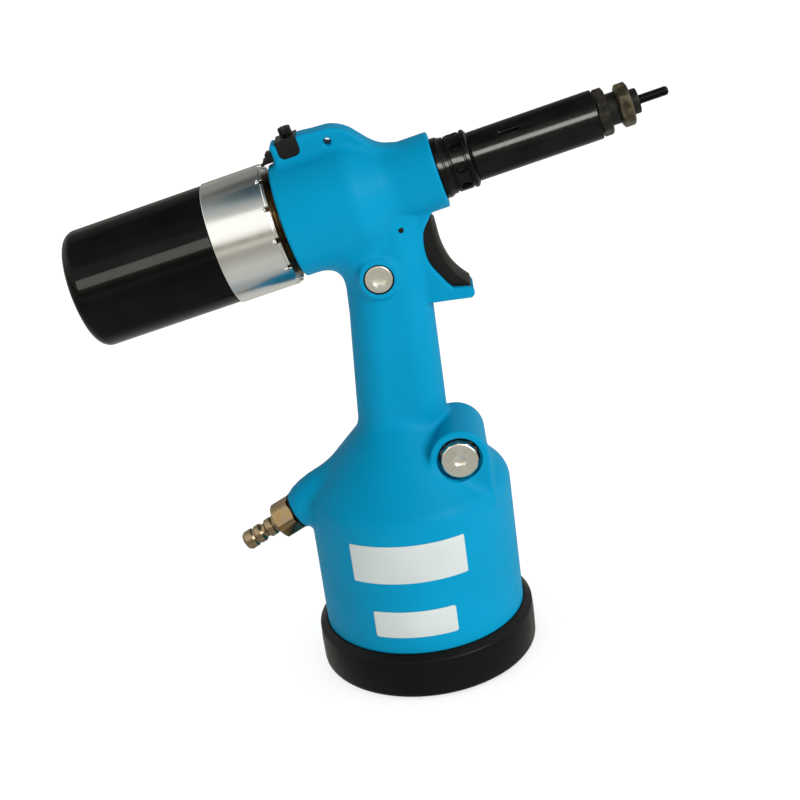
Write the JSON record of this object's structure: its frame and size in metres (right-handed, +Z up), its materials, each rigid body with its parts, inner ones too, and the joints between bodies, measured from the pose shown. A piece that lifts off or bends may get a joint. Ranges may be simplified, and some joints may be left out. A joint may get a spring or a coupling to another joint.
{
  "type": "pneumatic rivet gun",
  "caption": "Pistol-grip air and oil tool for threaded rivet inserts: tilted head with motor housing and long nose, ringed mandrel tip, slim handle on a wide air cylinder.",
  "frame": {"origin": "centre of the boot's underside, on the air cylinder's axis", "axes": "+Z up the air cylinder's axis to the head, +X towards the nose, -Y is the side with the oil plug, valve cap and labels"},
  "size_m": [0.3116, 0.12, 0.3019],
  "materials": {
    "blue_coat": "satin",
    "black_gloss": "gloss",
    "turned_silver": "turned and polished",
    "dark_thread": "bronzed",
    "black_oxide": "black oxide",
    "grey_oxide": "dark grey oxide",
    "brown_oxide": "brown oxide",
    "boot_rubber": "satin",
    "black_plastic": "satin",
    "seal_rubber": "matte",
    "machined_steel": "machined",
    "bearing_steel": "polished",
    "plug_silver": "machined",
    "bare_aluminium": "machined",
    "bronze": "machined",
    "nickel_brass": "nickel plated",
    "spring_steel": "drawn",
    "label_foil": "satin foil",
    "silencer_felt": "felt",
    "vane_resin": "matte"
  },
  "bodies": {
    "body": {"body_casting": "blue_coat", "base_boot": "boot_rubber", "base_end_cap": "bare_aluminium", "end_cap_seal": "seal_rubber", "ram_gland": "bronze", "rear_sleeve": "dark_thread", "front_gland": "bronze", "gland_seal": "seal_rubber", "rear_cover": "black_gloss", "exhaust_silencer": "silencer_felt", "motor_liner": "machined_steel", "motor_rear_plate": "bare_aluminium", "motor_front_plate": "bare_aluminium", "rear_bearing": "bearing_steel", "front_bearing": "bearing_steel", "ring_gear": "machined_steel", "carrier_bearing": "bearing_steel", "nose_adapter": "black_oxide", "nose_lock_ring": "black_oxide", "nose_sleeve": "black_oxide", "tip_adapter": "grey_oxide", "lock_nut": "brown_oxide", "anvil": "grey_oxide", "trigger_pin": "grey_oxide", "trigger_valve_body": "bronze", "oil_plug": "plug_silver", "oil_plug_seal": "seal_rubber", "valve_sleeve": "bronze", "valve_cap": "plug_silver", "valve_cap_seal": "seal_rubber", "inlet_gasket": "seal_rubber", "inlet_fitting": "nickel_brass", "inlet_nipple": "nickel_brass", "upper_label": "label_foil", "lower_label": "label_foil", "reverse_block": "black_plastic", "return_spring": "spring_steel", "ram_spring": "spring_steel"},
    "stroke_ring": {"stroke_ring": "turned_silver"},
    "stroke_stop": {"stroke_stop": "machined_steel"},
    "ring_lock": {"ring_lock": "black_plastic"},
    "pull_piston": {"pull_piston": "machined_steel", "piston_seal": "seal_rubber", "thrust_bearing": "machined_steel"},
    "spindle": {"spindle": "machined_steel", "mandrel_chuck": "machined_steel", "mandrel": "black_oxide"},
    "rotor": {"motor_rotor": "machined_steel", "rotor_vanes": "vane_resin"},
    "carrier": {"planet_carrier": "machined_steel"},
    "planet_1": {"planet_1": "machined_steel"},
    "planet_2": {"planet_2": "machined_steel"},
    "planet_3": {"planet_3": "machined_steel"},
    "air_piston": {"air_piston": "bare_aluminium", "air_piston_seal": "seal_rubber", "ram_rod": "machined_steel"},
    "trigger": {"trigger": "black_plastic"},
    "trigger_stem": {"trigger_stem": "machined_steel"},
    "valve_spool": {"valve_spool": "machined_steel"},
    "reverse_button": {"reverse_button": "black_plastic"}
  },
  "joints": [
    {"name": "trigger_pull", "type": "hinge", "parent": "body", "child": "trigger", "pos_m": [0.0143, 0, 0.245], "axis": [0, 1, 0], "range_deg": [0, 4], "stiffness_Nm_per_rad": 2, "springref_deg": -2.86},
    {"name": "trigger_stem_slide", "type": "slide", "parent": "body", "child": "trigger_stem", "axis": [-1, 0, 0], "range_m": [0, 0.0014]},
    {"name": "valve_spool_slide", "type": "slide", "parent": "body", "child": "valve_spool", "axis": [0, 1, 0], "range_m": [0, 0.003]},
    {"name": "air_piston_slide", "type": "slide", "parent": "body", "child": "air_piston", "axis": [0, 0, 1], "range_m": [0, 0.0492], "stiffness_N_per_m": 400, "springref_m": -0.03, "deforming": ["ram_spring"]},
    {"name": "pull_slide", "type": "slide", "parent": "body", "child": "pull_piston", "axis": [-0.9789, 0, -0.2045], "range_m": [0, 0.007], "deforming": ["return_spring"]},
    {"name": "rotor_spin", "type": "hinge", "parent": "body", "child": "rotor", "pos_m": [-0.12725, 0, 0.23542], "axis": [0.9789, 0, 0.2045], "continuous": true},
    {"name": "carrier_spin", "type": "hinge", "parent": "body", "child": "carrier", "pos_m": [-0.09593, 0, 0.24196], "axis": [0.9789, 0, 0.2045], "continuous": true},
    {"name": "planet_1_spin", "type": "hinge", "parent": "carrier", "child": "planet_1", "pos_m": [-0.10002, 0, 0.22731], "axis": [0.9789, 0, 0.2045], "continuous": true},
    {"name": "planet_2_spin", "type": "hinge", "parent": "carrier", "child": "planet_2", "pos_m": [-0.10416, 0.01169, 0.24713], "axis": [0.9789, 0, 0.2045], "continuous": true},
    {"name": "planet_3_spin", "type": "hinge", "parent": "carrier", "child": "planet_3", "pos_m": [-0.10416, -0.01169, 0.24713], "axis": [0.9789, 0, 0.2045], "continuous": true},
    {"name": "spindle_spin", "type": "hinge", "parent": "pull_piston", "child": "spindle", "pos_m": [0, 0, 0.262], "axis": [0.9789, 0, 0.2045], "continuous": true},
    {"name": "stroke_ring_turn", "type": "hinge", "parent": "body", "child": "stroke_ring", "pos_m": [-0.06069, 0, 0.24932], "axis": [0.9789, 0, 0.2045], "range_deg": [-1440, 0]},
    {"name": "stroke_stop_slide", "type": "slide", "parent": "body", "child": "stroke_stop", "axis": [-0.9789, 0, -0.2045], "range_m": [-0.006, 0]},
    {"name": "ring_lock_slide", "type": "slide", "parent": "body", "child": "ring_lock", "axis": [-0.9789, 0, -0.2045], "range_m": [0, 0.0024]},
    {"name": "reverse_button_press", "type": "slide", "parent": "body", "child": "reverse_button", "axis": [0.2045, 0, -0.9789], "range_m": [0, 0.0024], "stiffness_N_per_m": 1200, "springref_m": -0.001}
  ],
  "couplings": [
    {"joint": "trigger_stem_slide", "follows": "trigger_pull", "m_per_rad": 0.02},
    {"joint": "valve_spool_slide", "follows": "trigger_pull", "m_per_rad": 0.0429},
    {"joint": "pull_slide", "follows": "air_piston_slide", "ratio": 0.14222},
    {"joint": "carrier_spin", "follows": "rotor_spin", "ratio": 0.22222},
    {"joint": "planet_1_spin", "follows": "rotor_spin", "ratio": -0.62222},
    {"joint": "planet_2_spin", "follows": "rotor_spin", "ratio": -0.62222},
    {"joint": "planet_3_spin", "follows": "rotor_spin", "ratio": -0.62222},
    {"joint": "spindle_spin", "follows": "rotor_spin", "ratio": 0.22222},
    {"joint": "stroke_stop_slide", "follows": "stroke_ring_turn", "m_per_rad": 0.00023873}
  ]
}
